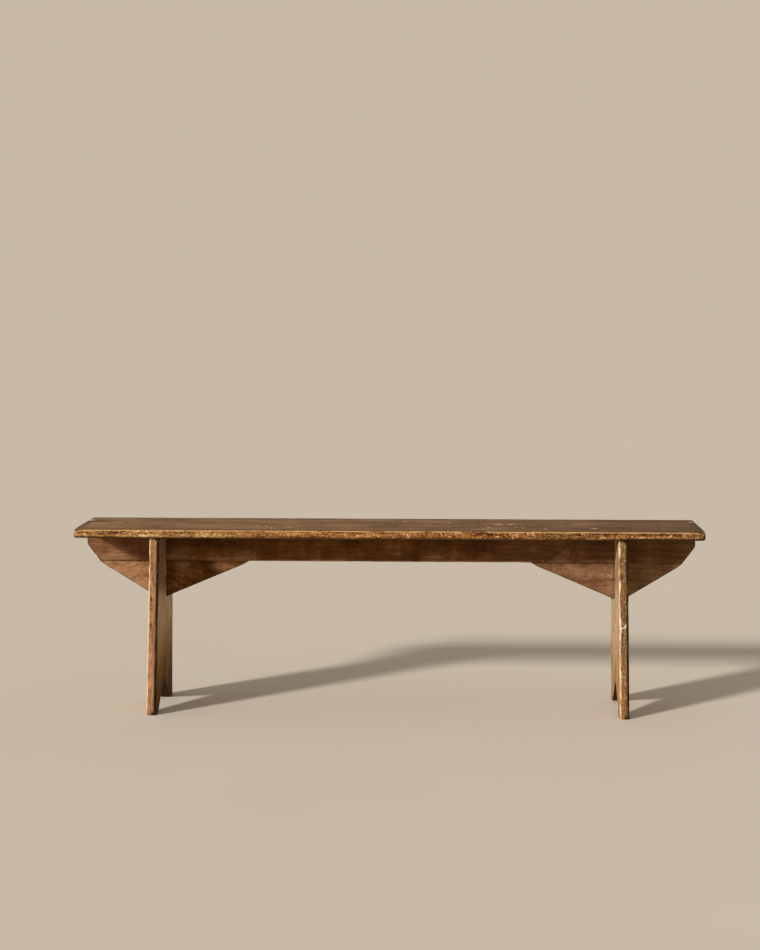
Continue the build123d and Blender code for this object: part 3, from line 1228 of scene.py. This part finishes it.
def leg_dirt_and_shade(coat, colour, patches, marks):
    """Dirt in the joint and at the foot, painted shade in the notch, and the marks on the front edge."""
    colour = coat.blend(coat.fall(coat.kept("joint"), 0.0005, 0.0022, 0.8), colour, leg_edge_dark)
    # The notch is painted near-black, as painted shade.
    in_notch = coat.times(
        coat.kept("edge"),
        coat.fall(coat.calc("ABSOLUTE", coat.y), 0.086, 0.092, 0.93),
        coat.fall(coat.z, 0.070, 0.080),
    )
    colour = coat.blend(in_notch, colour, notch_shade)
    grime = coat.times(coat.fall(coat.z, 0.0, 0.03, 0.4), coat.fade(patches, 0.3, 0.6))
    colour = coat.blend(grime, colour, leg_edge_dark)
    on_front = coat.fall(coat.y, -0.100, -0.095)
    for start, end, width, share, mark in marks:
        line = coat.times(coat.scored_line(start, end, width), on_front, share)
        colour = coat.blend(line, colour, mark)
    return colour


def leg_finish(name, shift, inner_shade_and_knee, low_shade_tint, colours, speckle, rub, marks):
    """Tan broad faces with painted shade on the inner face, brown edges and one arris painted bright as wear
    and highlight, with the grain running up the leg.
    """
    coat = WoodFinish(name, "ZYX", shift, ring_gap=0.0055)
    streaks = coat.lumps((0.22, 0.007, 0.02), detail=4.0, rough=0.6)
    patches = coat.lumps((0.10, 0.045, 0.04), detail=4.0)
    mottle = coat.lumps((0.022, 0.007, 0.007), detail=5.0, rough=0.65)
    broad = leg_faces(coat, streaks, patches, inner_shade_and_knee, low_shade_tint)
    narrow = leg_edges(coat, mottle, patches, colours, speckle)
    colour = coat.blend(coat.kept("edge"), broad, narrow)
    colour = leg_dirt_and_shade(coat, leg_arrises(coat, colour, rub), patches, marks)
    roughness = coat.scaled(streaks, 0.3, 0.52)
    return coat.lay(colour, roughness, coat.relief(0.5, 0.3, mottle), 0.0014, sheen=0.08)


# The left leg's inner face, turned from the lamp, gets strong painted shade; the right leg's only a little.
left_leg_finish = leg_finish(
    "old_left_leg_finish",
    shift=(0.0, 0.03, 0.60),
    inner_shade_and_knee=(-0.175, 0.250),
    low_shade_tint=(0.76, 0.59, 0.20),
    colours=(leg_edge_dark, leg_edge_brown, leg_edge_pale),
    speckle=0.15,
    rub=(0.0020, 0.0040, 0.004),
    marks=left_pits,
)
right_leg_finish = leg_finish(
    "old_right_leg_finish",
    shift=(1.3, -0.02, -0.61),
    inner_shade_and_knee=(-0.03, 0.03),
    low_shade_tint=(0.98, 0.90, 0.78),
    colours=(olive_dark, olive_brown, olive_pale),
    speckle=0.85,
    rub=(0.0022, 0.0052, 0.012),
    marks=right_splash,
)
left_leg.data.materials.append(left_leg_finish)
right_leg.data.materials.append(right_leg_finish)
print("leg finish", len(left_leg_finish.node_tree.nodes), "nodes")

# %% [markdown]
# The rail and its brackets kept most of their finish, a dark reddish brown, because little touches
# them. It is blotchy, with faint upright runs where it dripped as it dried, painted darker at the top
# under the seat as shade with some grime, and thinner towards the ends, paler still at the lit left end
# as painted light. In places a greyer pale colour lies over it, which on the lit left end and the lit
# right inner bracket is painted light. How much streaks, patches and mottle count is given for each
# board, and so is a lift that makes the whole board paler.

# %% Rail and bracket finish: the red brown coat
red_dark = (0.064, 0.021, 0.003)
red_brown = (0.172, 0.067, 0.014)
red_pale = (0.42, 0.235, 0.122)
lit_pale_grey = (0.165, 0.105, 0.080)
olive_grey = (0.140, 0.112, 0.048)


def red_coat(coat, streaks, lift, mix, grey_shares):
    """The colour of the old coat; hazy has the shares of a greyer pale colour at the left and at the right,
    painted light where it lies on a lit part.
    """
    streaky, patchy, mottled = mix
    patches = coat.lumps((0.048, 0.036, 0.04), detail=4.0, rough=0.55)
    mottle = coat.lumps((0.014, 0.008, 0.008), detail=4.0, rough=0.65)
    runs = coat.lumps((0.012, 0.150, 0.04), detail=3.0)
    tone = coat.tone(streaks, patches, (streaky, patchy, 0.10, 0.04))
    tone = coat.plus(coat.swing(mottle, mottled), tone)
    tone = coat.plus(
        coat.scaled(runs, 0.08, -0.04 + lift),
        tone,
        # The top of the rail is painted darker, as the seat's painted shade with some grime.
        coat.fade(coat.z, rail_low.z, rail_high.z, 0.0, -0.075),
        coat.fade(coat.calc("ABSOLUTE", coat.x), 0.40, 0.62, 0.0, 0.022),
        coat.fade(coat.x, 0.18, 0.36, 0.0, 0.026),
        coat.fall(coat.x, -0.28, -0.12, 0.018),
        # The lit left end is painted paler, as painted light.
        coat.fall(coat.x, -0.66, -0.58, 0.030),
        coat.fade(coat.x, 0.64, 0.75, 0.0, -0.030),
        coat.times(coat.kept("end"), coat.fade(coat.rings, 0.15, 0.7, -0.02, -0.12)),
    )
    colour = coat.ramp(tone, [(0.36, red_dark), (0.50, red_brown), (0.68, red_pale)])
    left_grey, right_grey = grey_shares
    # The greyer pale colour on the lit left end and the lit right inner bracket is painted light; elsewhere
    # it only shifts the hue.
    greying = coat.fall(coat.x, -0.63, -0.50, left_grey)
    greying = coat.plus(greying, coat.fade(coat.x, 0.15, 0.40, 0.0, right_grey))
    cast = coat.blend(coat.fade(coat.x, 0.54, 0.60), lit_pale_grey, olive_grey)
    colour = coat.blend(greying, colour, cast)
    return coat.blend(coat.times(coat.pores, 0.15), colour, red_dark)


print("red brown from", red_dark, "to", red_pale)

# %% [markdown]
# The rail's long arrises are rubbed pale, while its ends and the brackets' arrises are dark. Here and
# there something scratched the boards. Dark seams show where a bracket meets the rail, more open at
# the left end and inside the right leg than elsewhere, so the seam's strength changes along the bench.

# %% Rail and bracket finish: wear and seams
scuff = (0.62, 0.40, 0.22)
seam_dark = (0.022, 0.009, 0.004)


def red_wear(coat, colour, rubbed, scores):
    """Rubbed arrises, scratches, scores and seams."""
    joint = coat.kept("joint")
    rub = coat.times(
        coat.fall(coat.kept("arris"), 0.0010, 0.0040, 0.85),
        coat.fade(coat.lumps((0.040, 0.010, 0.010), detail=3.0), 0.32, 0.56),
        coat.fade(joint, 0.0010, 0.0050),
    )
    at_ends = coat.fade(coat.calc("ABSOLUTE", coat.x), 0.54, 0.60)
    colour = coat.blend(rub, colour, coat.blend(at_ends, rubbed, red_dark))
    scratches = coat.fade(coat.lumps((0.030, 0.0022, 0.01), detail=2.0), 0.69, 0.73)
    colour = coat.blend(coat.times(scratches, 0.2), colour, scuff)
    broken = coat.fade(coat.lumps((0.014, 0.010, 0.010), detail=4.0, rough=0.6), 0.36, 0.54, 0.15, 1.0)
    for start, end, width, share, mark in scores:
        on_front = coat.fall(coat.y, 0.012, 0.014, share)
        line = coat.times(coat.scored_line(start, end, width), on_front, broken)
        colour = coat.blend(line, colour, mark)
    left_seam = coat.fade(coat.x, -0.565, -0.555, 0.85, 0.05)
    open_seam = coat.plus(left_seam, coat.fade(coat.x, 0.0, 0.1, 0.0, 0.60))
    open_seam = coat.times(open_seam, coat.fade(coat.x, 0.565, 0.580, 1.0, 0.15))
    seam = coat.times(coat.fall(joint, 0.0004, 0.0020), open_seam)
    return coat.blend(seam, colour, seam_dark)


print("seams", seam_dark, "and scuffs", scuff)

# %% [markdown]
# One function lays this finish on all five boards, each with its own stretch of grain, its tilt and
# its tone. The brackets were sawn from other boards than the rail, so their grain runs at an angle and
# is paler or darker. Some carry old scores or soft rubbed places, given as lines like the legs' marks.

# %% Rail and bracket finish: all five boards
rail_scores = [
    ((0.378, 0.359), (0.449, 0.413), 0.0032, 0.8, red_dark),
    ((0.441, 0.362), (0.462, 0.411), 0.0030, 0.7, red_dark),
    ((-0.347, 0.368), (-0.331, 0.386), 0.0014, 0.6, scuff),
    ((0.377, 0.361), (0.383, 0.369), 0.0022, 0.5, scuff),
]
left_inner_marks = [((-0.455, 0.347), (-0.375, 0.358), 0.018, 0.30, red_pale)]
right_inner_marks = [
    ((0.445, 0.340), (0.515, 0.328), 0.018, 0.40, red_pale),
    ((0.404, 0.357), (0.410, 0.352), 0.0024, 0.75, scuff),
    ((0.538, 0.334), (0.552, 0.328), 0.0020, 0.65, scuff),
    ((0.541, 0.325), (0.554, 0.326), 0.0022, 0.75, scuff),
]
blotchy = (0.10, 0.48, 0.30)
no_grey = (0.0, 0.0)


def red_finish(
    name, shift, lift, tilt=0.0, mix=blotchy, grey_shares=no_grey, scores=(), rubbed=red_dark, nailed=True
):
    """Dark reddish brown over paler wood, worn a little."""
    coat = WoodFinish(name, "XZY", shift, ring_gap=0.0058, tilt=tilt)
    streaks = coat.lumps((0.22, 0.012, 0.02), detail=4.0, rough=0.55)
    colour = red_wear(coat, red_coat(coat, streaks, lift, mix, grey_shares), rubbed, scores)
    if nailed:
        colour = coat.blend(coat.fall(coat.kept("iron"), 0.004, 0.011, 0.8), colour, iron_stain)
    roughness = coat.scaled(streaks, 0.3, 0.42)
    return coat.lay(colour, roughness, coat.relief(0.5, 0.3), 0.0012, sheen=0.06)


rail_finish = red_finish(
    "old_rail_finish",
    shift=(0.0, -0.36, 0.02),
    lift=-0.012,
    mix=(0.20, 0.36, 0.12),
    grey_shares=(0.18, 0.18),
    scores=rail_scores,
    rubbed=red_pale,
    nailed=False,
)
rail.data.materials.append(rail_finish)
bracket_looks = {
    "left_outer": {"shift": (0.7, -0.30, 0.03), "lift": 0.068, "tilt": -0.3},
    "left_inner": {"shift": (0.2, -0.33, 0.01), "lift": -0.060, "tilt": 0.4},
    "right_inner": {"shift": (1.1, -0.29, 0.02), "lift": 0.010, "tilt": -0.1, "grey_shares": (0.0, 0.30)},
    "right_outer": {"shift": (1.9, -0.31, 0.03), "lift": 0.034, "grey_shares": (0.0, 0.20)},
}
bracket_looks["left_inner"]["scores"] = left_inner_marks
bracket_looks["right_inner"]["scores"] = right_inner_marks
bracket_looks["right_outer"]["mix"] = (0.30, 0.30, 0.14)
for where, look in bracket_looks.items():
    bracket_finish = red_finish("old_" + where + "_finish", **look)
    brackets[where + "_bracket"].data.materials.append(bracket_finish)
print("rail finish", len(rail_finish.node_tree.nodes), "nodes, and", len(bracket_looks), "more for brackets")

# %% [markdown]
# The nails are black iron with rust in the hammer marks. One coarse noise chooses between the two and
# makes the rust rougher, and a fine one pits the surface.

# %% Nail finish
iron_black = (0.030, 0.024, 0.021)
rust = (0.150, 0.058, 0.022)

nail_coat = Finish("old_nail_iron")
hammer_marks = nail_coat.lumps((0.0030, 0.0030, 0.0030), detail=4.0)
pitting = nail_coat.lumps((0.0007, 0.0007, 0.0007), detail=3.0)
nail_colour = nail_coat.ramp(hammer_marks, [(0.42, iron_black), (0.62, rust)])
nail_rough = nail_coat.scaled(hammer_marks, 0.5, 0.35)
nail_iron = nail_coat.lay(nail_colour, nail_rough, pitting, 0.0003, sheen=0.4, metal=0.5)
for nails in (seat_nails, bracket_nails):
    nails.data.materials.append(nail_iron)
print("nail finish", len(nail_iron.node_tree.nodes), "nodes")

# %% [markdown]
# The floor is plain and pale, a wide disc whose edge is out of sight. The light is one soft lamp from
# the front left, low enough for the seat to shade the rail, with an even sky to fill the shadows.

# %% Floor and lamp
lamp_height = radians(22)
lamp_turn = radians(-47)

bpy.ops.object.select_all(action="DESELECT")
bpy.ops.mesh.primitive_circle_add(vertices=96, radius=40, fill_type="NGON", location=(0, 0, 0))
floor = bpy.context.object
floor.name = "floor"
floor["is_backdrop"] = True
floor_paint = Finish("floor_paint")
floor_tone = floor_paint.lumps((0.6, 0.6, 0.6), detail=2.0)
floor_colour = floor_paint.ramp(floor_tone, [(0.3, (0.77, 0.705, 0.625)), (0.7, (0.79, 0.725, 0.645))])
floor.data.materials.append(floor_paint.lay(floor_colour, 0.9, floor_tone, 0.0, sheen=0.0))

lamp_data = bpy.data.lights.new("key_lamp", "SUN")
lamp_data.energy = 3.2
lamp_data.angle = radians(7)
lamp_data.color = (1.0, 0.96, 0.90)
lamp = bpy.data.objects.new("key_lamp", lamp_data)
lamp.rotation_euler = (radians(90) - lamp_height, 0, lamp_turn)
bpy.context.scene.collection.objects.link(lamp)
print("lamp", round(lamp_data.energy, 1), "from", round(np.degrees(lamp_height)), "degrees up")

# %% [markdown]
# The sky fills the shadows evenly from all sides. The camera sees it in the colour of the far floor
# instead, so that no horizon shows, and mirrored or bent rays see that colour too, as they would in a
# studio. Light Path tells the kinds of ray apart, so this takes no light from the bench.

# %% Sky
world = bpy.data.worlds.new("studio")
world.use_nodes = True
bpy.context.scene.world = world
sky = world.node_tree
sky.nodes.clear()
fill_light = add_node(sky, "Background", {"Color": (1.0, 0.88, 0.74), "Strength": 0.36})
backdrop = add_node(sky, "Background", {"Color": (0.577, 0.4887, 0.3864)})
ray = add_node(sky, "LightPath", {}, None)
seen = add_node(sky, "Math", {0: ray["Is Camera Ray"], 1: ray["Is Glossy Ray"]}, operation="MAXIMUM")
seen = add_node(sky, "Math", {0: seen, 1: ray["Is Transmission Ray"]}, operation="MAXIMUM")
mixed = add_node(sky, "MixShader", {0: seen, 1: fill_light, 2: backdrop})
add_node(sky, "OutputWorld", {"Surface": mixed}, None)
print("sky", len(sky.nodes), "nodes")

# %% [markdown]
# Nothing on the bench moves, so every piece rides on its one body, and each stands for the plain
# solid of the same board or group of nails. A table lists the kind of finish for each piece, but nothing
# here reads it.
# Last, the box round the dressed bench is printed.

# %% Ride, replace and measure
slots = {"seat_board": "seat_wood", "left_leg": "leg_wood", "right_leg": "leg_wood", "rail": "rail_wood"}
slots |= {"seat_nails": "nail_iron", "bracket_nails": "nail_iron"}
dressed = {"seat_board": seat, "left_leg": left_leg, "right_leg": right_leg, "rail": rail, **brackets}
dressed |= {"seat_nails": seat_nails, "bracket_nails": bracket_nails}
for node, piece in dressed.items():
    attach(piece, "root")
    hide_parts(node)

low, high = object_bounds()
print("visual box", [round(v, 4) for v in (*low, *high)])
